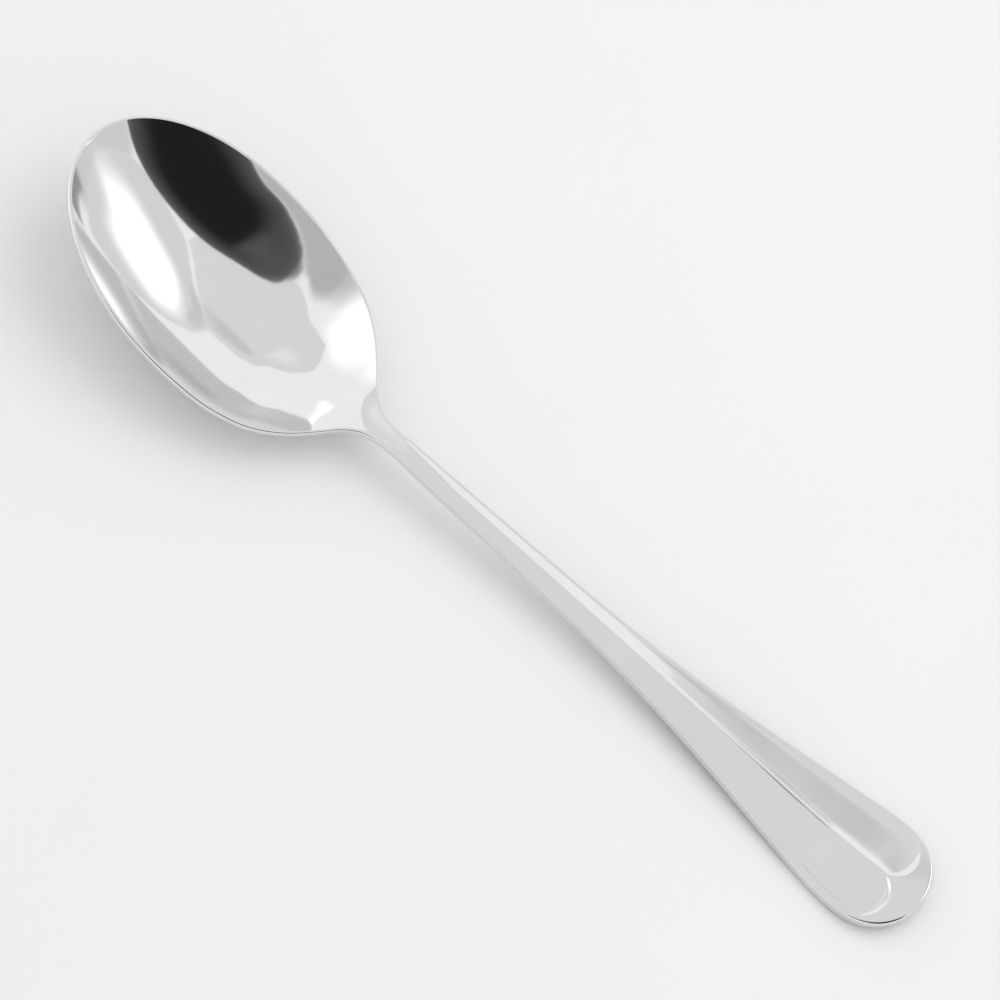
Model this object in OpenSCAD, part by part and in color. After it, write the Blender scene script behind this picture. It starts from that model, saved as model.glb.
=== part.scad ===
// A serving spoon, forged and polished from one blank of stainless steel.
// It is drawn as the regions a spoon maker names: bowl, neck, stem, handle and handle end.
// Neighbours meet face to face on one shared cross-section.
// The spoon lies hollow side up on its bowl and its handle. The tip of the bowl points to -X.

/* [Overall] */
// Length from the tip of the bowl to the end of the handle
spoon_length = 235.5; // [225:0.5:270]

/* [Bowl] */
// Distance from the tip to the narrowest place of the neck
bowl_length = 92; // [80:1:100]
// Greatest width of the bowl, over the rim
bowl_width = 53.5; // [40:0.5:64]
// Distance from the tip to the widest place of the bowl
bowl_peak = 39.5; // [34:0.5:46]
// Depth of the hollow below the rim beside it
bowl_depth = 11; // [6:0.1:13]
// Width of the rounded rim, seen from above
rim_width = 0.9; // [0.8:0.1:2]
// Height of the outer edge of the rim
rim_thickness = 1.5; // [1.2:0.1:2.4]
// Thickness of the metal at the bottom of the bowl
floor_thickness = 2.4; // [1:0.1:3]
// Height of the rim at the tip above the table
tip_height = 24.9; // [19:0.1:27]

/* [Neck and stem] */
// Width of the neck at its narrowest place
neck_width = 5.4; // [4:0.1:8]
// Height of the edge of the neck above the table
neck_height = 9.75; // [8:0.05:12]
// Thickness added under the middle of the neck
neck_belly = 1.2; // [0.4:0.1:2]
// Height of the stem's central ridge over its edges, just past the neck
stem_crest = 0.8; // [0.3:0.1:1.2]

/* [Handle] */
// Greatest width of the handle, near its end
handle_width = 27; // [20:0.2:32]
// Height of the handle's side wall
handle_thickness = 2.4; // [1.6:0.1:3]
// Thickness added under the middle of the handle
handle_belly = 0.2; // [0.1:0.1:0.6]
// Height of the central ridge over the edges, at the wide end
handle_crest = 1.2; // [0.6:0.1:2.8]
// Depth of each flute below the sloping top, at the wide end
flute_depth = 0.5; // [0.2:0.1:1.2]
// Width of the plain land outside each flute
land_width = 1.1; // [1:0.1:1.8]
// Length over which the end of the handle is rounded off
end_round = 14; // [11:0.5:18]
// Length of the plain lip between the flutes' cusp and the end
lip_length = 10.2; // [8:0.2:10.8]
// How far the floor of each scalloped flute end reaches past the cusp
scallop_reach = 2.9; // [2:0.1:3.4]
// Length of the slope that rises from each flute end to the lip
scallop_slope = 1.8; // [1.4:0.1:3]
// How much farther each flute runs on its outer side than beside the ridge
scallop_slant = 1; // [0:0.1:1.5]
// Height by which the handle turns up at its end
end_lift = 1.8; // [0:0.1:5]

/* [Edges] */
// Radius of the rounded edge round the bowl
rim_radius = 0.45; // [0.3:0.05:0.55]
// Radius of the rounded edge round the stem and the handle
handle_radius = 0.4; // [0.3:0.05:0.8]
// Radius of the rounded edge at the very end of the handle
end_radius = 0.8; // [0.4:0.05:0.9]

/* [Facets] */
// Columns of points across the hollow of the bowl and the flutes
across_steps = 20; // [12:2:24]
// Rows of points along the bowl
bowl_steps = 34; // [20:2:40]
// Rows of points along the neck
neck_steps = 9; // [6:1:14]
// Rows of points along the stem
stem_steps = 8; // [4:1:14]
// Rows of points along the handle
handle_steps = 12; // [8:1:18]
// Rows of points along the rounded handle end
end_steps = 26; // [16:2:32]

/* [Hidden] */
steel = [0.78, 0.79, 0.8];

// Places along the spoon, measured from the tip
end_peak = spoon_length - end_round;
cusp_at = spoon_length - lip_length;
// Where one region gives way to the next
bowl_end_share = 0.86;
neck_end_share = 1.1;
stem_end_share = 0.42;
bowl_end = bowl_length * bowl_end_share;
neck_end = bowl_length * neck_end_share;
stem_end = bowl_length + (end_peak - bowl_length) * stem_end_share;
// The handle rests on the table here, under its lowest stretch
low_height = handle_thickness + handle_belly;
low_share = 0.94;
low_at = bowl_length + (end_peak - bowl_length) * low_share;

// Fullness of the curves: 2 gives an ellipse, and more a squarer one
tip_fullness = 2.1;
end_fullness = 2.5;

// Half width from the widest place of the bowl to the neck.
// Each row is a share of the way and a share of the bowl's extra half width.
shoulder_share = [
    [0, 1], [0.162, 0.981], [0.352, 0.894], [0.505, 0.742], [0.619, 0.532],
    [0.695, 0.334], [0.752, 0.175], [0.81, 0.068], [0.87, 0.02], [1, 0]
];
// Half width from the neck to the widest place of the handle, in the same way
flare_share = [
    [0, 0], [0.1, 0.018], [0.256, 0.061], [0.45, 0.152], [0.643, 0.379],
    [0.798, 0.659], [0.899, 0.86], [0.953, 0.955], [1, 1]
];
// Height of the rim from the tip to the neck, as a share of the tip's extra height
rim_share = [
    [0, 1], [0.12, 0.825], [0.24, 0.655], [0.36, 0.472], [0.49, 0.3],
    [0.62, 0.117], [0.74, 0.012], [0.87, -0.018], [1, 0]
];
// Height of the edge from the neck to the lowest stretch of the handle
fall_share = [
    [0, 1], [0.15, 0.87], [0.48, 0.555], [0.81, 0.19], [0.93, 0.05], [1, 0]
];

// Smooth curve through the rows of a table, with the slope given at both ends
function rise(t, i) = (t[i + 1][1] - t[i][1]) / (t[i + 1][0] - t[i][0]);
function slope(t, i, first, last) =
    i == 0 ? first
    : i == len(t) - 1 ? last
    : let (back = t[i][0] - t[i - 1][0], ahead = t[i + 1][0] - t[i][0])
        (rise(t, i) * back + rise(t, i - 1) * ahead) / (back + ahead);
function row_of(t, u, i = 0) =
    i >= len(t) - 2 || u <= t[i + 1][0] ? i : row_of(t, u, i + 1);
function along(t, u, first = 0, last = 0) =
    let (
        i = row_of(t, u),
        span = t[i + 1][0] - t[i][0],
        f = (u - t[i][0]) / span,
        m0 = slope(t, i, first, last) * span,
        m1 = slope(t, i + 1, first, last) * span
    )
    t[i][1] * (1 + 2 * f) * (1 - f) * (1 - f) + m0 * f * (1 - f) * (1 - f)
    + t[i + 1][1] * f * f * (3 - 2 * f) - m1 * f * f * (1 - f);
function clamp(f) = min(1, max(0, f));
function ease(f) = let (c = clamp(f)) c * c * (3 - 2 * c);
function mix(a, b, f) = a + (b - a) * f;

// How far a place lies along the stem and handle, from 0 at the neck to 1 at the wide end
function handle_way(x) = clamp((x - bowl_length) / (end_peak - bowl_length));
// How much of their widening has happened there
function widening(x) = along(flare_share, handle_way(x));
// How much wider than the neck the bowl is behind its widest place
function shoulder(x) = along(shoulder_share, (x - bowl_peak) / (bowl_length - bowl_peak));
// Half width of the spoon at a distance from the tip
function half_width(x) =
    x <= bowl_peak ? bowl_width / 2 * sqrt(1 - pow(1 - x / bowl_peak, tip_fullness))
    : x <= bowl_length ? mix(neck_width, bowl_width, shoulder(x)) / 2
    : x <= end_peak ? mix(neck_width, handle_width, widening(x)) / 2
    : handle_width / 2 * sqrt(1 - pow(min(1, (x - end_peak) / end_round), end_fullness));

// Height of the top edge above the table at a distance from the tip
tip_fall = -1.45;
function edge_height(x) =
    x <= bowl_length
        ? mix(neck_height, tip_height, along(rim_share, x / bowl_length, tip_fall))
    : let (
        fall = along(fall_share, clamp((x - bowl_length) / (low_at - bowl_length)), -0.7),
        lift = clamp((x - low_at) / (spoon_length - low_at))
    )
    mix(low_height, neck_height, fall) + end_lift * lift * lift;

// How much a place belongs to the stem and no longer to the bowl
neck_start_share = 0.9;
function past_bowl(x) =
    ease((x - bowl_length * neck_start_share) / (bowl_length * (neck_end_share - neck_start_share)));
function wall_height(x) = mix(rim_thickness, handle_thickness, past_bowl(x));
function crest_height(x) = mix(stem_crest, handle_crest, widening(x)) * past_bowl(x);
function belly_height(x) = mix(neck_belly, handle_belly, ease(handle_way(x) * 2)) * past_bowl(x);
function edge_radius(x) =
    x <= end_peak ? mix(rim_radius, handle_radius, past_bowl(x))
    : mix(handle_radius, end_radius, ease((x - end_peak) / end_round));
// The rim and the land narrow with the neck
narrow_share = 0.15;
function land(x) =
    min(mix(rim_width, land_width, past_bowl(x)), half_width(x) * narrow_share + edge_radius(x));

// Depth of the flute at a share of the way out from the ridge to the land.
// Its floor is nearly flat across, and ends in a round scallop and a slope up to the lip.
flute_fullness = 3;
function flute(x, out) =
    let (
        bow = max(0, 1 - pow(2 * out - 1, 2)),
        foot = cusp_at + scallop_slant * out + scallop_reach * sqrt(bow),
        slope_length = scallop_slope * sqrt(bow),
        up = slope_length > 0 ? clamp((x - foot) / slope_length) : x > foot ? 1 : 0
    )
    flute_depth * widening(x) * (1 - pow(1 - bow, flute_fullness)) * (1 - up * up);

// Height of the top face, for a half width inside the land and an offset across.
// The hollow of the bowl is parabolic across. The top of the stem starts as a flat between two slopes.
// The flat narrows to the ridge, and further on the slopes hold the flutes.
ridge_start_share = 0.96;
ridge_end_share = 1.2;
flat_top_share = 0.75;
ridge_softness = 0.2;
function flat_top(x) =
    let (way = (x / bowl_length - ridge_start_share) / (ridge_end_share - ridge_start_share))
    flat_top_share * (1 - ease(way));
function roof(f) = (1 + f - sqrt(pow(1 - f, 2) + pow(ridge_softness, 2))) / 2;
function top_height(x, inner, y) =
    let (
        room = max(0, inner * inner - y * y),
        hollow = room / pow(bowl_width / 2 - rim_width, 2),
        roof_width = x < end_peak ? inner : handle_width / 2 - land_width,
        inside = clamp(room / (roof_width * roof_width)),
        rise = (1 - sqrt(1 - inside)) / (1 - flat_top(x)),
        out = inner > 0 ? abs(y) / inner : 1
    )
    edge_height(x)
    - (1 - past_bowl(x)) * bowl_depth * hollow
    + crest_height(x) * (1 - flat_top(x)) * roof(rise)
    - flute(x, out) * sqrt(inside);

// Height of the underside at a half width and an offset across.
// The belly of the stem is round, and that of the handle has a flat in the middle to rest on.
flat_share = 0.6;
function under_height(x, outer, y) =
    let (
        room = max(0, outer * outer - y * y),
        hollow = room / pow(bowl_width / 2 - rim_radius, 2),
        shell = bowl_depth + floor_thickness - rim_thickness,
        flat = flat_share * handle_way(x),
        middle = outer > 0 ? min(1, (1 - pow(y / outer, 2)) / (1 - flat * flat)) : 0
    )
    edge_height(x) - wall_height(x)
    - (1 - past_bowl(x)) * shell * hollow
    - belly_height(x) * middle;

// Direction into the metal from the outline, turned along the spoon at its two ends
function turn(x) =
    x < bowl_peak
        ? let (c = 1 - x / bowl_peak, s = sqrt(1 - c * c), a = bowl_width / 2 * c, b = bowl_peak * s)
            [a, b] / norm([a, b])
    : x > end_peak
        ? let (c = min(1, (x - end_peak) / end_round), s = sqrt(1 - c * c),
               a = handle_width / 2 * c, b = end_round * s)
            [-a, b] / norm([a, b])
    : [0, 1];

// One closed cross-section. It runs over the top from -Y to +Y, down the wall, back under and up.
wall_points = 4;
top_points = across_steps + 3;
ring_points = 2 * (top_points + wall_points);
quarter = 90;
function spread(j, steps) = sin(quarter * (2 * j / steps - 1));
// The spoon is set down on the table: its lowest place, looked for along the middle, is at zero
search_steps = 120;
function lowest_at(x) = under_height(x, max(0, half_width(x) - edge_radius(x)), 0);
rest_level = min([for (i = [0 : search_steps]) lowest_at(spoon_length * i / search_steps)]);
function placed(x, y, z) = [x - spoon_length / 2, y, z - rest_level];
// The rounded side wall, as the distance in from the outline and the distance down
function wall_side(r, h) =
    let (k = r * (1 - sin(quarter / 2)))
    [[k, k], [0, r], [0, h - r], [k, h - k]];
function cross_section(x) =
    let (
        w = half_width(x),
        n = turn(x),
        e = land(x),
        r = edge_radius(x),
        inner = max(0, w - n[1] * e),
        outer = max(0, w - n[1] * r),
        xi = x + n[0] * e,
        xo = x + n[0] * r,
        top = [for (j = [0 : across_steps])
            let (y = inner * spread(j, across_steps)) placed(xi, y, top_height(xi, inner, y))],
        wall = [for (p = wall_side(r, wall_height(x)))
            placed(x + n[0] * p[0], max(0, w - n[1] * p[0]), edge_height(x) - p[1])],
        under = [for (j = [top_points - 1 : -1 : 0])
            let (y = outer * spread(j, top_points - 1)) placed(xo, y, under_height(xo, outer, y))]
    )
    concat(
        [placed(xo, -outer, edge_height(xo))], top, [placed(xo, outer, edge_height(xo))],
        wall, under,
        [for (k = [wall_points - 1 : -1 : 0]) [wall[k][0], -wall[k][1], wall[k][2]]]
    );

// At the tip and at the end the section closes up into one line, so its twin points are one
function top_twin(j) = j == 0 || j == top_points - 1 ? 0 : 1;
function twin(j) =
    j < top_points ? top_twin(j)
    : j < top_points + wall_points ? j
    : j < 2 * top_points + wall_points ? top_points + wall_points
    : ring_points - 1 - j + top_points;
function point_of(k, j, rows, closed_first, closed_last) =
    k * ring_points + ((k == 0 && closed_first) || (k == rows - 1 && closed_last) ? twin(j) : j);
function is_face(f) = f[0] != f[1] && f[1] != f[2] && f[2] != f[0];
function cap(base, flip) =
    let (
        last = top_points - 1,
        low = top_points + wall_points,
        across = [for (j = [0 : last - 1]) each [
            [j, j + 1, low + last - j - 1],
            [j, low + last - j - 1, low + last - j]]],
        sides = [for (k = [0 : wall_points - 1]) each [
            [last, last + k + 1, last + k + 2],
            [0, k == 0 ? ring_points - wall_points - 1 : ring_points - wall_points + k - 1,
             ring_points - wall_points + k]]],
        faces = concat(across, sides)
    )
    [for (f = faces) let (g = flip ? [f[2], f[1], f[0]] : f) [base + g[0], base + g[1], base + g[2]]];

// A region of the spoon through the given places along it
module region(places, closed_first = false, closed_last = false) {
    rows = len(places);
    points = [for (x = places) each cross_section(x)];
    skin = [for (k = [0 : rows - 2], j = [0 : ring_points - 1])
        let (
            m = (j + 1) % ring_points,
            a = point_of(k, j, rows, closed_first, closed_last),
            b = point_of(k, m, rows, closed_first, closed_last),
            c = point_of(k + 1, m, rows, closed_first, closed_last),
            d = point_of(k + 1, j, rows, closed_first, closed_last)
        )
        each [for (f = [[a, b, c], [a, c, d]]) if (is_face(f)) f]];
    first_cap = closed_first ? [] : cap(0, true);
    last_cap = closed_last ? [] : cap((rows - 1) * ring_points, false);
    color(steel) polyhedron(points, concat(skin, first_cap, last_cap), convexity = 6);
}

// Rows of places: crowded towards a rounded end, or evenly spaced between two cuts
function even(from, to, steps) = [for (i = [0 : steps]) mix(from, to, i / steps)];
function crowded(from, to, steps) = [for (i = [0 : steps]) mix(from, to, 1 - cos(quarter * i / steps))];

module bowl() {
    front_steps = bowl_steps / 2;
    front = crowded(0, bowl_peak, front_steps);
    back = even(bowl_peak, bowl_end, bowl_steps - front_steps);
    region(concat(front, [for (i = [1 : len(back) - 1]) back[i]]), closed_first = true);
}
module neck() {
    region(even(bowl_end, neck_end, neck_steps));
}
module stem() {
    region(even(neck_end, stem_end, stem_steps));
}
module handle() {
    region(even(stem_end, end_peak, handle_steps));
}
module handle_end() {
    back = crowded(0, end_round, end_steps);
    region([for (i = [end_steps : -1 : 0]) spoon_length - back[i]], closed_last = true);
}

bowl();
neck();
stem();
handle();
handle_end();
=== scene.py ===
# %% [markdown]
# A polished steel serving spoon.
#
# The real spoon is cut from one sheet of stainless steel, forged between dies and polished until it mirrors
# the room. Everything that tells it apart is therefore in two things: how its surface bends, and what
# stands around it to be mirrored. This lesson works the surface out as one smooth sheet of points with
# numpy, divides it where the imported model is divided, and then builds a small white tent round it.

import bpy
import numpy as np
from mathutils import Matrix, Vector


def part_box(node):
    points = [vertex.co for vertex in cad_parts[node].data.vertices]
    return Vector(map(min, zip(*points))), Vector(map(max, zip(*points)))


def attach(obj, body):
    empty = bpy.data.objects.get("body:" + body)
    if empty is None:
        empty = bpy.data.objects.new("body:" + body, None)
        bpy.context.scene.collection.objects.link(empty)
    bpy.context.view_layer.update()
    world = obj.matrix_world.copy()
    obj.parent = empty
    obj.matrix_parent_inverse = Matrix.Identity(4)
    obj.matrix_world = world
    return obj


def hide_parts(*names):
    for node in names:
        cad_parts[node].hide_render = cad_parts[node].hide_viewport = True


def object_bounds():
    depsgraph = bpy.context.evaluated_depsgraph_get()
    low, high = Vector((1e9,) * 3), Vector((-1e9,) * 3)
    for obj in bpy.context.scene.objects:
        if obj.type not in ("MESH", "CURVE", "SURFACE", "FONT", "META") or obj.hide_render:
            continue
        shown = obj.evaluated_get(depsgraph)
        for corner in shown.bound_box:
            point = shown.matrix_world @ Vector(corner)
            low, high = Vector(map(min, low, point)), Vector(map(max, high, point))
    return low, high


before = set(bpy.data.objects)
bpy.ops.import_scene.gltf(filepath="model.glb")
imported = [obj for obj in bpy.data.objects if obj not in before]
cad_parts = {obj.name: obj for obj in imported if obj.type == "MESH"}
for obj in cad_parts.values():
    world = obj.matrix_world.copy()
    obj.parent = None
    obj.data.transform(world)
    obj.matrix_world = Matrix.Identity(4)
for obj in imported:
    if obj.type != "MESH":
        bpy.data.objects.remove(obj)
cad_low, cad_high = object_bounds()
REGIONS = ["bowl", "neck", "stem", "handle", "handle_end"]
print("regions of the spoon:", REGIONS)

# %% [markdown]
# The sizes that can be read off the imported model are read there, so that the skin follows it: the length of
# the spoon, the widths of the bowl and of the handle, the length of the round end, and the places where the
# regions meet. The rest are the working sizes of the pattern, in millimetres. Millimetres suit a spoon, and
# one factor turns them into Blender's metres at the very end.

# %% Sizes
MM = 0.001
X, Y, Z = 0, 1, 2


def node_size(node, axis):
    """Size of a node along an axis, in millimetres."""
    low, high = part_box(node)
    return (high[axis] - low[axis]) / MM


spoon_length = (cad_high[X] - cad_low[X]) / MM
bowl_width = node_size("bowl", Y)
handle_width = node_size("handle_end", Y)
end_round = node_size("handle_end", X)
bowl_end = node_size("bowl", X)
neck_end = bowl_end + node_size("neck", X)
stem_end = neck_end + node_size("stem", X)
end_peak = spoon_length - end_round

bowl_length = 92.0
bowl_peak = 39.5
bowl_depth = 11.0
rim_width = 0.9
rim_thickness = 1.5
rim_radius = 0.45
floor_thickness = 2.4
tip_height = 24.9
neck_width = 5.4
neck_height = 9.75
neck_belly = 1.2
stem_crest = 0.8
handle_thickness = 2.4
handle_belly = 0.2
handle_radius = 0.4
end_radius = 0.8
handle_crest = 1.2
flute_depth = 0.5
land_width = 1.1
lip_length = 10.2
scallop_reach = 2.9
scallop_slope = 1.8
scallop_slant = 1.0
end_lift = 1.8
tip_fullness = 2.1
end_fullness = 2.5
print("spoon", round(spoon_length, 1), "mm long, bowl", round(bowl_width, 1), "mm wide")

# %% [markdown]
# A maker draws a spoon from above as a few fair curves. Each is kept here as a short table of shares: how far
# along, and how much of the change has happened by then. A cubic curve goes through the rows, with its slope
# at each row taken from the two spans beside it, so the outline has no corner anywhere. At its two ends a
# curve runs level, unless a slope is given. Bezier curves drawn by hand would do as well, but a table can be
# turned into height, thickness or width in the same way.

# %% Smooth curves through short tables
shoulder_share = [
    (0, 1), (0.162, 0.981), (0.352, 0.894), (0.505, 0.742), (0.619, 0.532),
    (0.695, 0.334), (0.752, 0.175), (0.81, 0.068), (0.87, 0.02), (1, 0),
]
flare_share = [
    (0, 0), (0.1, 0.018), (0.256, 0.061), (0.45, 0.152), (0.643, 0.379),
    (0.798, 0.659), (0.899, 0.86), (0.953, 0.955), (1, 1),
]
rim_share = [
    (0, 1), (0.12, 0.825), (0.24, 0.655), (0.36, 0.472), (0.49, 0.3),
    (0.62, 0.117), (0.74, 0.012), (0.87, -0.018), (1, 0),
]
fall_share = [(0, 1), (0.15, 0.87), (0.48, 0.555), (0.81, 0.19), (0.93, 0.05), (1, 0)]
tip_fall = -1.45
stem_fall = -0.7


def along(table, share, first=0.0, last=0.0):
    """Cubic curve through the rows: each span is a Hermite blend of its two values and two slopes."""
    place, value = np.array(table, dtype=float).T
    span = np.diff(place)
    rise = np.diff(value) / span
    inner = (rise[1:] * span[:-1] + rise[:-1] * span[1:]) / (span[1:] + span[:-1])
    slope = np.concatenate([[first], inner, [last]])
    i = np.clip(np.searchsorted(place, share) - 1, 0, len(span) - 1)
    f = (share - place[i]) / span[i]
    g = 1 - f
    start = value[i] * (1 + 2 * f) * g * g + slope[i] * span[i] * f * g * g
    return start + value[i + 1] * f * f * (3 - 2 * f) - slope[i + 1] * span[i] * f * f * g


def clamp(f):
    """The share f, held between 0 and 1."""
    return np.clip(f, 0, 1)


def ease(f):
    """Smooth step: three times the square less twice the cube."""
    c = clamp(f)
    return c * c * (3 - 2 * c)


def mix(a, b, f):
    """From a, the share f of the way to b."""
    return a + (b - a) * f


print("shoulder half way to the neck:", round(float(along(shoulder_share, 0.5)), 3))

# %% [markdown]
# Seen from above, the bowl is an egg: nearly an ellipse up to its widest place, then a long shoulder that
# turns in to the neck. The handle grows slowly along the stem, flares, and ends in a fuller ellipse. Seen
# from the side, the rim climbs to the tip, the stem falls in one straight run, and the end turns up a little.
# Every measure here is a function of the place along the spoon, so it can be asked for anywhere.

# %% Width and height along the spoon
low_share = 0.94
neck_start_share = 0.9
neck_end_share = 1.1
narrow_share = 0.15
low_at = bowl_length + (end_peak - bowl_length) * low_share
low_height = handle_thickness + handle_belly


def handle_way(x):
    """0 at the neck and 1 at the wide end."""
    return clamp((x - bowl_length) / (end_peak - bowl_length))


def widening(x):
    """How much of the handle's flare has happened."""
    return along(flare_share, handle_way(x))


def half_width(x):
    """Ellipse to the widest place, shoulder to the neck, flare to the wide end, fuller ellipse to the end."""
    front = clamp(1 - x / bowl_peak) ** tip_fullness
    tip = bowl_width / 2 * np.sqrt(1 - front)
    shoulder = along(shoulder_share, clamp((x - bowl_peak) / (bowl_length - bowl_peak)))
    round_end = handle_width / 2 * np.sqrt(1 - clamp((x - end_peak) / end_round) ** end_fullness)
    back = mix(neck_width, bowl_width, shoulder) / 2
    grip = mix(neck_width, handle_width, widening(x)) / 2
    return np.select([x <= bowl_peak, x <= bowl_length, x <= end_peak], [tip, back, grip], round_end)


def edge_height(x):
    """Height of the top edge: the rim's curve up to the tip, then the stem's fall and the end's lift."""
    rim = mix(neck_height, tip_height, along(rim_share, clamp(x / bowl_length), tip_fall))
    fall = along(fall_share, clamp((x - bowl_length) / (low_at - bowl_length)), stem_fall)
    lift = clamp((x - low_at) / (spoon_length - low_at))
    return np.where(x <= bowl_length, rim, mix(low_height, neck_height, fall) + end_lift * lift * lift)


def past_bowl(x):
    """0 in the bowl and 1 on the stem, easing over the neck."""
    return ease((x / bowl_length - neck_start_share) / (neck_end_share - neck_start_share))


def edge_radius(x):
    """Radius of the rounded edge: eases from the rim's to the handle's, and on to the end's."""
    side = mix(rim_radius, handle_radius, past_bowl(x))
    return np.where(x <= end_peak, side, mix(handle_radius, end_radius, ease((x - end_peak) / end_round)))


def wall_height(x):
    """Thickness at the edge: eases from the rim's to the handle's over the neck."""
    return mix(rim_thickness, handle_thickness, past_bowl(x))


def land(x):
    """Width of the plain edge beside the hollow or the flutes, less where the neck is narrow."""
    narrow = half_width(x) * narrow_share + edge_radius(x)
    return np.minimum(mix(rim_width, land_width, past_bowl(x)), narrow)


quarters = spoon_length * np.linspace(0, 1, 5)
print("half widths at the quarters:", np.round(half_width(quarters), 2), "mm")
print("edge heights at the quarters:", np.round(edge_height(quarters), 2), "mm")

# %% [markdown]
# Across the spoon, the bowl is a parabola: a hollow of that form is what makes the mirrored room look
# undistorted in it. Behind the neck the top is a flat that narrows to a ridge, with a slope on each side of
# it. Two shallow flutes are struck into the slopes, each with a round scallop at its end and a short rise up
# to the plain lip. The underside is drawn in the same way, with a soft belly that has a flat in its middle to
# rest on. A modeller could carve all this by hand, but a formula keeps the two sides alike to the last digit.

# %% Height across the spoon
flute_fullness = 3
ridge_start_share = 0.96
ridge_end_share = 1.2
flat_top_share = 0.75
ridge_softness = 0.2
flat_share = 0.6
cusp_at = spoon_length - lip_length
TINY = 1e-12


def flute(x, out):
    """Nearly flat floor, one less a sixth power, times what is left of it on the slope past the foot."""
    bow = np.maximum(0, 1 - (2 * out - 1) ** 2)
    foot = cusp_at + scallop_slant * out + scallop_reach * np.sqrt(bow)
    slope = np.maximum(scallop_slope * np.sqrt(bow), TINY)
    up = clamp((x - foot) / slope)
    return flute_depth * widening(x) * (1 - (1 - bow) ** flute_fullness) * (1 - up * up)


def flat_top(x):
    """Share of the stem's half width that is flat on top: it narrows to nothing, where the ridge begins."""
    way = (x / bowl_length - ridge_start_share) / (ridge_end_share - ridge_start_share)
    return flat_top_share * (1 - ease(way))


def roof(f):
    """The lesser of f and 1, with the corner between them rounded as a hyperbola."""
    return (1 + f - np.sqrt((1 - f) ** 2 + ridge_softness**2)) / 2


def top_height(x, inner, y):
    """Edge height, less the parabolic hollow, plus a roof of two slopes, less its flutes."""
    room = np.maximum(0, inner * inner - y * y)
    hollow = room / (bowl_width / 2 - rim_width) ** 2
    roof_width = np.where(x < end_peak, inner, handle_width / 2 - land_width)
    inside = clamp(room / np.maximum(roof_width**2, TINY))
    rise = (1 - np.sqrt(1 - inside)) / (1 - flat_top(x))
    crest = mix(stem_crest, handle_crest, widening(x)) * past_bowl(x)
    out = np.where(inner > 0, np.abs(y) / np.maximum(inner, TINY), 1)
    bowl = (1 - past_bowl(x)) * bowl_depth * hollow
    return edge_height(x) - bowl + crest * (1 - flat_top(x)) * roof(rise) - flute(x, out) * np.sqrt(inside)


def under_height(x, outer, y):
    """Edge height, less the wall, less the outside of the bowl, less the belly of the stem and handle."""
    room = np.maximum(0, outer * outer - y * y)
    hollow = room / (bowl_width / 2 - rim_radius) ** 2
    flat = flat_share * handle_way(x)
    middle = np.where(outer > 0, 1 - (y / np.maximum(outer, TINY)) ** 2, 0)
    middle = np.minimum(1, middle / (1 - flat**2))
    shell = bowl_depth + floor_thickness - rim_thickness
    belly = mix(neck_belly, handle_belly, ease(handle_way(x) * 2)) * past_bowl(x)
    bowl = (1 - past_bowl(x)) * shell * hollow
    return edge_height(x) - wall_height(x) - bowl - belly * middle


widest = np.array([bowl_peak])
deepest = edge_height(widest) - top_height(widest, half_width(widest) - rim_width, np.zeros(1))
print("hollow at the widest place:", np.round(deepest, 2), "mm deep")

# %% [markdown]
# One closed ring of points is now taken at every place along the spoon: over the top, down the rounded wall,
# back under, and up the other wall. At the two ends the walls have to go round the corner, so each ring is
# shifted along the spoon by the direction in which the outline faces there. A mirror needs a fine grid, and
# it is finest at the two ends, where the outline turns fastest.

# %% Rings of points
ACROSS = 150
ARC = 6
CELLS = {"front": 130, "back": 100, "neck": 60, "stem": 40, "handle": 80, "end": 110}


def inward(x):
    """Unit direction from the outline into the metal, along and across, from the ellipses' slopes."""
    c = clamp(1 - x / bowl_peak)
    tip = np.stack([bowl_width / 2 * c, bowl_peak * np.sqrt(1 - c * c)], -1)
    c = clamp((x - end_peak) / end_round)
    end = np.stack([-handle_width / 2 * c, end_round * np.sqrt(1 - c * c)], -1)
    side = np.array([0.0, 1.0])
    n = np.where((x < bowl_peak)[:, None], tip, np.where((x > end_peak)[:, None], end, side))
    return n / np.linalg.norm(n, axis=1, keepdims=True)


def rings(x):
    """Grid of points, one ring a row, in millimetres from the middle of the spoon and from the table."""
    n_along, n_across = np.hsplit(inward(x), 2)
    x = x[:, None]
    w, edge, r = half_width(x), edge_height(x), edge_radius(x)
    inner = np.maximum(0, w - n_across * land(x))
    outer = np.maximum(0, w - n_across * r)
    turn = np.sin(np.pi / 2 * np.linspace(-1, 1, ACROSS + 1))[None]
    y = inner * turn
    x_top = x + n_along * land(x) + 0 * y
    top = np.stack([x_top, y, top_height(x, inner, y)], -1)
    a = np.linspace(0, np.pi / 2, ARC)
    inset = r * np.concatenate([1 - np.sin(a), 1 - np.cos(a)])
    drop = r * np.concatenate([1 - np.cos(a), np.sin(a) - 1])
    drop = drop + wall_height(x) * (np.arange(2 * ARC) >= ARC)
    wall = np.stack([x + n_along * inset, np.maximum(0, w - n_across * inset), edge - drop], -1)
    y = outer * turn[:, -2:0:-1]
    under = np.stack([x + n_along * r + 0 * y, y, under_height(x, outer, y)], -1)
    other_wall = wall[:, ::-1] * np.array([1, -1, 1])
    return np.concatenate([top, wall, under, other_wall], 1) - np.array([spoon_length / 2, 0, 0])


def crowded(start, stop, cells):
    """Places that crowd towards the start, spaced by a cosine."""
    return start + (stop - start) * (1 - np.cos(np.pi / 2 * np.linspace(0, 1, cells + 1)))


def evenly(start, stop, cells):
    """Evenly spaced places, with both ends."""
    return np.linspace(start, stop, cells + 1)


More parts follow.
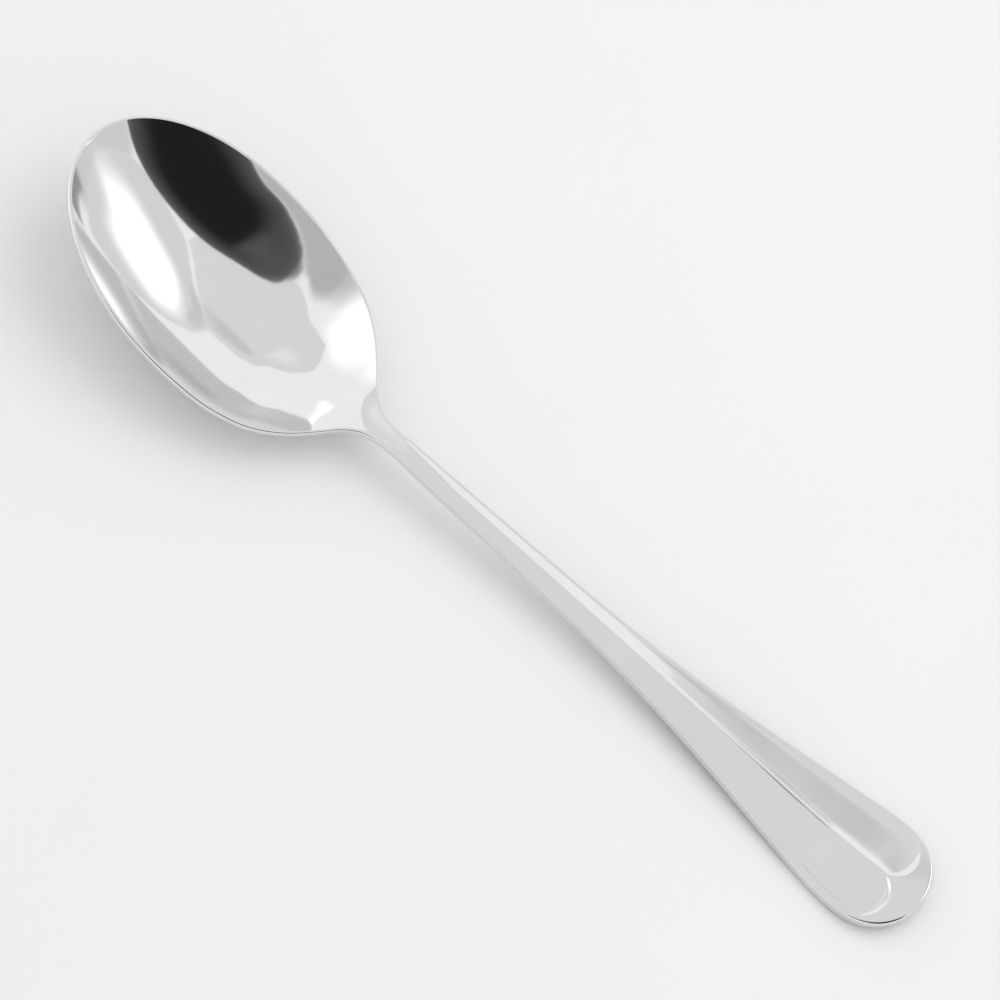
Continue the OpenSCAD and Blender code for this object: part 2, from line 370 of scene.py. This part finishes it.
bowl_front = crowded(0, bowl_peak, CELLS["front"])
bowl_back = evenly(bowl_peak, bowl_end, CELLS["back"])
rows = {
    "bowl": np.concatenate([bowl_front, bowl_back[1:]]),
    "neck": evenly(bowl_end, neck_end, CELLS["neck"]),
    "stem": evenly(neck_end, stem_end, CELLS["stem"]),
    "handle": evenly(stem_end, end_peak, CELLS["handle"]),
    "handle_end": spoon_length - crowded(0, end_round, CELLS["end"])[::-1],
}
places = np.concatenate([rows["bowl"]] + [rows[name][1:] for name in REGIONS[1:]])
grid = rings(places)
table_level = grid[..., Z].min()
grid[..., Z] -= table_level
print("grid of the whole spoon:", grid.shape, "lowest place was at", round(float(table_level), 3), "mm")

# %% [markdown]
# A mirror shows every change of direction, so the direction of the surface matters more than its place. The
# directions are worked out once for the whole spoon, from its faces, before it is divided. Each region then
# carries the directions of the whole, and no seam shows where two regions meet.

# %% Surface directions of the whole spoon
ROW = grid.shape[1]
SAME_SPOT_DIGITS = 5
points = grid.reshape(-1, 3)


def merged_ends(count):
    """Index of every grid point, with points that fall together in the first and last ring made one."""
    index = np.arange(count * ROW).reshape(count, ROW)
    for row in (0, count - 1):
        spots = np.round(points[index[row]], SAME_SPOT_DIGITS)
        _, first, same = np.unique(spots, axis=0, return_index=True, return_inverse=True)
        index[row] = index[row][first[same.ravel()]]
    return index


def skin_faces(index):
    """Two triangles for every cell of the grid, without those that have closed up to nothing."""
    a, b = index[:-1], index[1:]
    d, c = np.roll(a, -1, axis=1), np.roll(b, -1, axis=1)
    faces = np.concatenate([np.stack([a, b, c], -1), np.stack([a, c, d], -1)]).reshape(-1, 3)
    kept = (faces[:, 0] != faces[:, 1]) & (faces[:, 1] != faces[:, 2]) & (faces[:, 2] != faces[:, 0])
    return faces[kept]


def directions_from(faces):
    """At each point the sum of its faces' cross products, so larger faces count for more, cut to length 1."""
    corners = points[faces]
    turned = np.cross(corners[:, 1] - corners[:, 0], corners[:, 2] - corners[:, 0])
    total = np.zeros_like(points)
    for corner in range(3):
        np.add.at(total, faces[:, corner], turned)
    return total / np.maximum(np.linalg.norm(total, axis=1, keepdims=True), TINY)


whole = merged_ends(len(places))
whole_skin = skin_faces(whole)
facing = directions_from(whole_skin)
print("triangles in the skin:", len(whole_skin))

# %% [markdown]
# Each region is a closed piece: its part of the skin, and a flat cap wherever it is cut. The caps lie inside
# the metal and are never seen. Without them the pieces would be open shells, which is no use to anyone who
# wants to weigh or print them. A cap is a strip of triangles between the top line and the bottom line of the
# ring, with a fan at each wall. Blender's fill could close the cuts too, but the strip is always the same.

# %% Make the five regions
TOP = np.arange(ACROSS + 1)
RIGHT = ACROSS + 1 + np.arange(2 * ARC)
UNDER = RIGHT[-1] + 1 + np.arange(ACROSS - 1)
LEFT = UNDER[-1] + 1 + np.arange(2 * ARC)
BOTTOM = np.concatenate([LEFT[:1], UNDER[::-1], RIGHT[-1:]])


def new_object(name, data):
    """An object that shows the data, linked into the scene."""
    made = bpy.data.objects.new(name, data)
    bpy.context.collection.objects.link(made)
    return made


def cap_faces(ring, forward):
    """Strip from top to bottom and a fan at each wall; forward caps face the handle's end."""
    strip = np.stack([TOP[:-1], TOP[1:], BOTTOM[1:]], -1)
    other = np.stack([TOP[:-1], BOTTOM[1:], BOTTOM[:-1]], -1)
    right = np.stack([np.full(2 * ARC - 1, TOP[-1]), RIGHT[:-1], RIGHT[1:]], -1)
    left = np.stack([np.full(2 * ARC - 1, TOP[0]), LEFT[:-1], LEFT[1:]], -1)
    cap = ring[np.concatenate([strip, other, right, left])]
    return cap[:, ::-1] if forward else cap


def make_region(name, first, last):
    """Skin between two rings and a cap at each cut; a cap faces straight along the spoon."""
    index = whole[first : last + 1]
    skin = skin_faces(index)
    no_cap = skin[:0]
    tip_cap = cap_faces(index[0], False) if first > 0 else no_cap
    end_cap = cap_faces(index[-1], True) if last < len(places) - 1 else no_cap
    every = np.concatenate([skin, tip_cap, end_cap])
    directions = facing[every]
    directions[len(skin) :] = (-1, 0, 0)
    directions[len(skin) + len(tip_cap) :] = (1, 0, 0)
    used, local = np.unique(every, return_inverse=True)
    local = local.reshape(-1, 3)
    mesh = bpy.data.meshes.new(name + "_skin")
    mesh.from_pydata((points[used] * MM).tolist(), [], local.tolist())
    mesh.polygons.foreach_set("use_smooth", np.ones(len(local), dtype=bool))
    mesh.normals_split_custom_set(directions.reshape(-1, 3).tolist())
    mesh.validate()
    piece = new_object(name + "_skin", mesh)
    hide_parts(name)
    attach(piece, "root")
    print(name, "region:", len(local), "triangles")
    return piece


skins = {}
start = 0
for name in REGIONS:
    stop = start + len(rows[name]) - 1
    skins[name] = make_region(name, start, stop)
    start = stop

# %% [markdown]
# Shader maths reads best as ordinary sums. One small class holds a socket and turns each sum on it into a
# Math node, so a pattern can be written as an expression. Dragging nodes by hand gives the same material, but
# a script can be read from top to bottom.

# %% A socket that can be used in sums
class Socket:
    """Wraps an output socket; plus and times add Math nodes."""

    def __init__(self, tree, socket):
        self.tree = tree
        self.socket = socket

    def node(self, kind, inputs=None, settings=None, output=0):
        """Adds any node: its settings first, then the values or links of its sockets."""
        made = self.tree.nodes.new(kind)
        for key, value in (settings or {}).items():
            setattr(made, key, value)
        for key, value in (inputs or {}).items():
            if isinstance(value, Socket):
                self.tree.links.new(value.socket, made.inputs[key])
            else:
                made.inputs[key].default_value = value
        return Socket(self.tree, made.outputs[output])

    def maths(self, operation, a, b):
        """The sum or product of two sockets or numbers."""
        return self.node("ShaderNodeMath", {0: a, 1: b}, {"operation": operation})

    def __add__(self, other):
        return self.maths("ADD", self, other)

    def __radd__(self, other):
        return self.maths("ADD", other, self)

    def __mul__(self, other):
        return self.maths("MULTIPLY", self, other)

    def blend(self, first, second):
        """From the first colour to the second by this share; 6, 7 and 2 are a Mix's colour sockets."""
        colours = {0: self, 6: (*first, 1), 7: (*second, 1)}
        return self.node("ShaderNodeMix", colours, {"data_type": "RGBA"}, output=2)

    def to_output(self, kind="ShaderNodeOutputMaterial"):
        """Links a shader to a new output node."""
        out = self.tree.nodes.new(kind)
        self.tree.links.new(self.socket, out.inputs["Surface"])


def new_material(name):
    """An empty material, and a socket of Object coordinates to start its pattern from."""
    material = bpy.data.materials.new(name)
    material.use_nodes = True
    tree = material.node_tree
    tree.nodes.clear()
    place = tree.nodes.new("ShaderNodeTexCoord")
    return material, Socket(tree, place.outputs["Object"])


# %% [markdown]
# Polished steel is a mirror that has been used. The buffing wheel leaves very fine lines along the spoon, and
# washing adds a faint haze that comes and goes. Both are far too fine to model, so the lines are a noise that
# is stretched along the spoon and bends the light through a Bump node, and the haze is a second, larger noise
# that raises the roughness a little.

# %% Polished steel
steel_dim = (0.74, 0.742, 0.746)
steel_bright = (0.797, 0.798, 0.8)
line_scale = (60.0, 1400.0, 1400.0)
haze_scale = 90.0
line_depth = 0.02 * MM
polish_roughness = 0.035
haze_roughness = 0.05
line_roughness = 0.02


def polished_steel():
    """A mirror: its roughness is the polish, plus a share of the haze, plus a share of the lines."""
    material, place = new_material("polished steel")
    lines = place.node("ShaderNodeMapping", {"Vector": place, "Scale": line_scale})
    buffing = place.node(
        "ShaderNodeTexNoise", {"Vector": lines, "Scale": 1.0, "Detail": 3.0, "Roughness": 0.6}
    )
    haze = place.node("ShaderNodeTexNoise", {"Vector": place, "Scale": haze_scale, "Detail": 4.0})
    roughness = polish_roughness + haze * haze_roughness + buffing * line_roughness
    tone = haze.blend(steel_dim, steel_bright)
    bump = place.node("ShaderNodeBump", {"Height": buffing, "Strength": 0.05, "Distance": line_depth})
    mirror = place.node(
        "ShaderNodeBsdfPrincipled",
        {"Base Color": tone, "Metallic": 1.0, "Roughness": roughness, "Normal": bump},
    )
    mirror.to_output()
    return material


steel = polished_steel()
for piece in skins.values():
    piece.data.materials.append(steel)
print("finish:", steel.name)

# %% [markdown]
# The spoon lies on a plain white cloth, whose weave hardly shows in the photograph. It could be draped and
# woven, but a matt plane with a very faint unevenness is enough: its colour makes the pale background, and it
# catches the soft shadow.

# %% The cloth
cloth_span = 1.6
cloth_white = 0.875
cloth_unevenness = 0.015
weave_scale = 1200.0
weave_depth = 0.2 * MM
sag_scale = 14.0


def white_cloth():
    """Matt white that is a little darker and brighter by turns, with a bump finer than the eye can follow."""
    material, place = new_material("white cloth")
    weave = place.node("ShaderNodeTexNoise", {"Vector": place, "Scale": weave_scale, "Detail": 2.0})
    sag = place.node("ShaderNodeTexNoise", {"Vector": place, "Scale": sag_scale, "Detail": 2.0})
    bump = place.node("ShaderNodeBump", {"Height": weave, "Strength": 0.15, "Distance": weave_depth})
    darker = cloth_white * (1 - cloth_unevenness)
    brighter = cloth_white * (1 + cloth_unevenness)
    matt = place.node(
        "ShaderNodeBsdfPrincipled",
        {
            "Base Color": sag.blend((darker,) * 3, (brighter,) * 3),
            "Roughness": 0.9,
            "Specular IOR Level": 0.1,
            "Normal": bump,
        },
    )
    matt.to_output()
    return material


half_span = cloth_span / 2
cloth_corners = [(-half_span, -half_span, 0), (half_span, -half_span, 0)]
cloth_corners += [(half_span, half_span, 0), (-half_span, half_span, 0)]
cloth_mesh = bpy.data.meshes.new("cloth")
cloth_mesh.from_pydata(cloth_corners, [], [(0, 1, 2, 3)])
cloth_mesh.materials.append(white_cloth())
cloth = new_object("cloth", cloth_mesh)
print("cloth:", cloth_span, "m wide")

# %% [markdown]
# What makes a photograph of a mirror is the room. This one looks like a small white tent: a ceiling with a
# pale seam round it, walls with lamps close behind the cloth, and a dark opening on the camera's side. One
# round picture of such a room could be mirrored instead, but then nothing in it could be moved by itself.
# Here each part is a patch of a large dome, given by the directions of its corners from the bowl, as a
# compass bearing and a height in degrees. The patches aren't seen by the camera itself, only in the steel.

# %% Directions and closed outlines
tent_middle = np.array([-0.06, 0.0, 0.01])
tent_size = 5.0
OUTLINE_STEPS = 12


def towards(bearing, height):
    """Unit direction from a bearing, turned from +X towards +Y, and a height above the table."""
    b, h = np.radians(bearing), np.radians(height)
    return np.stack([np.cos(h) * np.cos(b), np.cos(h) * np.sin(b), np.sin(h)], -1)


def closed_outline(corners, bend):
    """Closed cubic curve through the corners, its slopes from their neighbours; bend 0 keeps it straight."""
    p = towards(*np.array(corners, dtype=float).T)
    m = bend * (np.roll(p, -1, 0) - np.roll(p, 1, 0)) / 2
    f = (np.arange(OUTLINE_STEPS) / OUTLINE_STEPS)[None, :, None]
    g = 1 - f
    a, b = p[:, None], np.roll(p, -1, 0)[:, None]
    ma, mb = m[:, None], np.roll(m, -1, 0)[:, None]
    curve = a * (1 + 2 * f) * g * g + ma * f * g * g + b * f * f * (3 - 2 * f) - mb * f * f * g
    return curve.reshape(-1, 3)


print("directions are taken from", tent_middle)

# %% [markdown]
# A patch is a disc of rings that is stretched to its outline. Each point keeps how bright it is and how much
# of the wall behind it covers, so a patch can have a sharp edge or fade out, and no picture is needed. The
# rings crowd towards the edge, because that is where the brightness changes fastest. A patch hides what lies
# behind it, so each has its own distance, as a share of the tent's size.

# %% One patch of the tent
PATCH_RINGS = 40
seam_start = 0.985


def tent_material():
    """Plain light in the stored brightness, mixed with nothing at all where the patch doesn't cover."""
    material, place = new_material("tent patch")
    glow = place.node("ShaderNodeAttribute", {}, {"attribute_name": "glow"}, output=2)
    cover = place.node("ShaderNodeAttribute", {}, {"attribute_name": "cover"}, output=2)
    light = place.node("ShaderNodeEmission", {"Color": (1, 1, 1, 1), "Strength": glow})
    nothing = place.node("ShaderNodeBsdfTransparent")
    mixed = place.node("ShaderNodeMixShader", {0: cover, 1: nothing, 2: light})
    mixed.to_output()
    return material


def even_light(level, seam=None):
    """One brightness, with a thin line of another along the edge where the cloth is sewn."""
    return lambda r: np.where(r > seam_start, seam or level, level)


def soft(full):
    """Covers all of the wall up to the share full of the way out, then fades to nothing at the edge."""
    return lambda r: 1 - ease((r - full) / (1 - full))


def all_of_it(r):
    """Covers all of the wall, right up to the edge."""
    return 1 + 0 * r


tent_glow = tent_material()


def patch(name, distance, corners, glow, cover=all_of_it, bend=1.0):
    """Disc of rings round the middle direction; ring r lies at the share r of the way to the outline."""
    edge = closed_outline(corners, bend)
    middle = edge.mean(0)
    out = 1 - (1 - np.linspace(0, 1, PATCH_RINGS + 1)[1:]) ** 2
    shell = middle + (edge - middle)[None] * out[:, None, None]
    shell /= np.linalg.norm(shell, axis=-1, keepdims=True)
    hub = middle / np.linalg.norm(middle)
    spots = np.concatenate([hub[None], shell.reshape(-1, 3)]) * distance * tent_size + tent_middle
    count = len(edge)
    index = 1 + np.arange(PATCH_RINGS * count).reshape(PATCH_RINGS, count)
    a, b = index[:-1], index[1:]
    quads = np.stack([a, np.roll(a, -1, 1), np.roll(b, -1, 1), b], -1).reshape(-1, 4)
    fan = np.stack([np.zeros(count, dtype=int), index[0], np.roll(index[0], -1)], -1)
    mesh = bpy.data.meshes.new(name)
    mesh.from_pydata(spots.tolist(), [], fan.tolist() + quads.tolist())
    mesh.materials.append(tent_glow)
    share = np.concatenate([[0.0], np.repeat(out, count)])
    for key, rule in (("glow", glow), ("cover", cover)):
        stored = mesh.attributes.new(key, "FLOAT", "POINT")
        stored.data.foreach_set("value", (rule(share) + 0 * share).astype(np.float32))
    card = new_object(name, mesh)
    card.visible_camera = False
    card.visible_shadow = False
    card.visible_diffuse = False
    print("patch:", name, "at", round(distance * tent_size, 2), "m")


# %% [markdown]
# The ceiling is a little darker than the walls, because it is lit from its far side, and the cloth shows a
# pale line where it is sewn to the walls. It is dimmer where it meets the lower wall, and hazy and brighter
# towards its far end. The wall is in shade beside the opening and again near the tip. Low down at the far
# side the table's edge makes a dim band.

# %% Ceiling, shaded walls and the far edge of the table
patch(
    "ceiling",
    distance=0.86,
    corners=[
        (22, 54), (39, 56), (60, 53), (75, 46), (82, 37), (101, 43), (118, 50), (152, 47), (165, 53),
        (-176, 60), (-165, 67), (-80, 66), (-20, 70), (8, 57),
    ],
    glow=even_light(0.85, seam=1.2),
    bend=0.0,
)
patch(
    "shaded edge of the ceiling",
    distance=0.855,
    corners=[(70, 50), (75, 43), (80, 39), (86, 43), (93, 46), (99, 51), (95, 55), (84, 56), (74, 55)],
    glow=even_light(0.7),
    cover=soft(0.3),
)
patch(
    "haze at the end of the ceiling",
    distance=0.85,
    corners=[(99, 54), (112, 52.5), (126, 54), (145, 58), (155, 66), (132, 71), (112, 66), (101, 60)],
    glow=even_light(0.97),
    cover=soft(0.1),
)
patch(
    "shade beside the opening",
    distance=0.895,
    corners=[
        (-30, 28), (-50, 44), (-80, 62), (-95, 68), (-118, 68), (-134, 54), (-124, 40), (-95, 32), (-60, 26),
    ],
    glow=even_light(0.57),
    cover=soft(0.45),
)
patch(
    "shade near the tip",
    distance=0.895,
    corners=[
        (8, 31), (18, 34), (24, 29), (33, 24), (43, 19), (54, 15), (62, 9), (66, 4), (58, 0), (35, 2),
        (15, 12), (6, 22),
    ],
    glow=even_light(0.76),
    cover=soft(0.75),
)
patch(
    "far edge of the table",
    distance=0.79,
    corners=[(45, -5), (46, 7), (55, 9.5), (61, 5), (67, 1), (72, -2), (76, -6)],
    glow=even_light(0.35),
    cover=soft(0.7),
)

# %% [markdown]
# Real tents glow where a lamp stands close behind the cloth, and the light fades outwards. One lamp stands
# behind the right wall, one behind the left wall, and a narrow bright strip shows at the far left. The
# ceiling and the lower wall hang in front of the right wall and cut its light off at the seams.

# %% Bright patches
patch(
    "right wall",
    distance=0.88,
    corners=[
        (33, 22.5), (19, 33), (16, 43), (24, 52.5), (45, 53.5), (62, 51), (75, 44), (82, 34), (84, 24),
        (81, 12), (71, 2), (60, 8), (46, 16),
    ],
    glow=even_light(0.82, seam=0.95),
)
patch(
    "lamp behind the right wall",
    distance=0.87,
    corners=[
        (36, 17), (28, 29), (31, 39), (44, 45), (58, 46), (70, 42), (78, 36), (83, 29), (85, 21), (79, 11),
        (64, 10), (50, 16),
    ],
    glow=even_light(2.1),
    cover=soft(0.15),
)
patch(
    "shaded end of the right wall",
    distance=0.868,
    corners=[(54, 51), (66, 47), (75, 41), (78, 35), (80, 28), (84, 25), (85, 38), (78, 48), (66, 54)],
    glow=even_light(0.7),
    cover=soft(0.3),
)
patch(
    "lower wall",
    distance=0.865,
    corners=[
        (77, 8), (81, 12), (83, 18), (84, 24), (83, 31), (82, 37), (88, 39), (98, 36), (102, 20), (94, 4),
        (84, 0), (78, 2),
    ],
    glow=even_light(1.06, seam=0.9),
    bend=0.3,
)
patch(
    "lamp behind the left wall",
    distance=0.88,
    corners=[
        (-112, 49), (-122, 61), (-142, 70), (-165, 68), (170, 56), (160, 43), (163, 32), (-175, 24),
        (-152, 24), (-125, 35),
    ],
    glow=even_light(1.65),
    cover=soft(0.05),
)
patch(
    "bright strip at the far left",
    distance=0.87,
    corners=[(120, 1), (125, 8), (131, 16), (138, 25), (142, 26), (139, 17), (132, 6), (124, -1)],
    glow=even_light(1.6),
    cover=soft(0.5),
)

# %% [markdown]
# The opening is where the picture is taken from, and the room beyond it is dark. It isn't black all over:
# some light falls on what stands near its edge, and more at the end beside the ceiling.

# %% The dark opening
opening_seam = 1.1
opening_seam_start = 0.98
room_dark = 0.016
room_pale = 0.101
room_pale_start = 0.5


def opening_light(r):
    """Dark in the middle, easing to paler towards the edge, with a bright seam at the very edge."""
    room = mix(room_dark, room_pale, ease((r - room_pale_start) / (1 - room_pale_start)))
    return np.where(r > opening_seam_start, opening_seam, room)


patch(
    "dark opening",
    distance=0.84,
    corners=[
        (10, 27), (16, 34), (17, 46), (11, 58), (-7, 71.5), (-42, 76.5), (-71, 71), (-81, 58), (-76, 46),
        (-58, 41), (-44, 30), (-22, 19), (0, 18),
    ],
    glow=opening_light,
)
patch(
    "paler end of the opening",
    distance=0.835,
    corners=[(-8, 68), (-40, 75), (-68, 72), (-80, 60), (-74, 50), (-62, 56), (-40, 64)],
    glow=even_light(0.1),
    cover=soft(0.1),
)

# %% [markdown]
# Beyond the patches the world is even and pale, as the walls of the tent are. The steel mirrors a brighter
# wall than the one that lights the cloth, and one large soft lamp from the far side makes up the difference.
# It gives the spoon its soft shadow towards the camera. The lamp itself isn't mirrored.

# %% The world and the lamp
plain_world = 0.88
seen_world = 0.95
mirrored_world = 1.06
lamp_power = 1.4
lamp_size = 0.8
lamp_distance = 0.9
lamp_bearing = 75.0
lamp_height = 64.0

world = bpy.data.worlds.new("tent walls")
bpy.context.scene.world = world
world.use_nodes = True
sky = world.node_tree
sky.nodes.clear()
light_path = sky.nodes.new("ShaderNodeLightPath")
seen = Socket(sky, light_path.outputs["Is Camera Ray"])
mirrored = Socket(sky, light_path.outputs["Is Glossy Ray"])
strength = plain_world + seen * (seen_world - plain_world) + mirrored * (mirrored_world - plain_world)
walls = seen.node("ShaderNodeBackground", {"Color": (1, 1, 1, 1), "Strength": strength})
walls.to_output("ShaderNodeOutputWorld")

lamp_data = bpy.data.lights.new("soft lamp", "AREA")
lamp_data.shape = "DISK"
lamp_data.size = lamp_size
lamp_data.energy = lamp_power
lamp = new_object("soft lamp", lamp_data)
lamp_way = Vector(towards(lamp_bearing, lamp_height))
lamp_turn = lamp_way.to_track_quat("Z", "Y").to_matrix().to_4x4()
lamp.matrix_world = Matrix.Translation(lamp_way * lamp_distance) @ lamp_turn
lamp.visible_glossy = False
lamp.visible_camera = False
print("lamp:", lamp_power, "W from", [round(c, 2) for c in lamp.location])

# %% [markdown]
# The camera looks at the spoon from the near side, from well above, with a long lens, and it is rolled so
# that the spoon runs from the upper left to the lower right of the picture. It could be placed by eye, but
# these values come from fitting the spoon's outline to the photograph, and so the lens is given in pixels.

# %% The camera
view_bearing = -81.703
view_height = 58.0
view_roll = 33.124
view_distance = 1.0
aim_from_tip = 113.439
aim_across = 7.191
aim_height = 6.8
focal_pixels = 4742.0
picture_pixels = 1000.0
far_clip = 10.0

aim = Vector(((aim_from_tip - spoon_length / 2) * MM, aim_across * MM, aim_height * MM))
back = Vector(towards(view_bearing, view_height))
level_right = Vector((0, 0, 1)).cross(back).normalized()
level_up = back.cross(level_right)
roll = np.radians(view_roll)
right = level_right * np.cos(roll) + level_up * np.sin(roll)
up = level_up * np.cos(roll) - level_right * np.sin(roll)
camera_turn = Matrix((right, up, back)).transposed().to_4x4()
lens = bpy.data.cameras.new("camera")
camera = new_object("camera", lens)
camera.matrix_world = Matrix.Translation(aim + back * view_distance) @ camera_turn
lens.lens = lens.sensor_width * focal_pixels / picture_pixels
lens.clip_end = far_clip
bpy.context.scene.camera = camera
bpy.context.scene.view_settings.view_transform = "Standard"
print("lens:", round(lens.lens, 1), "mm")
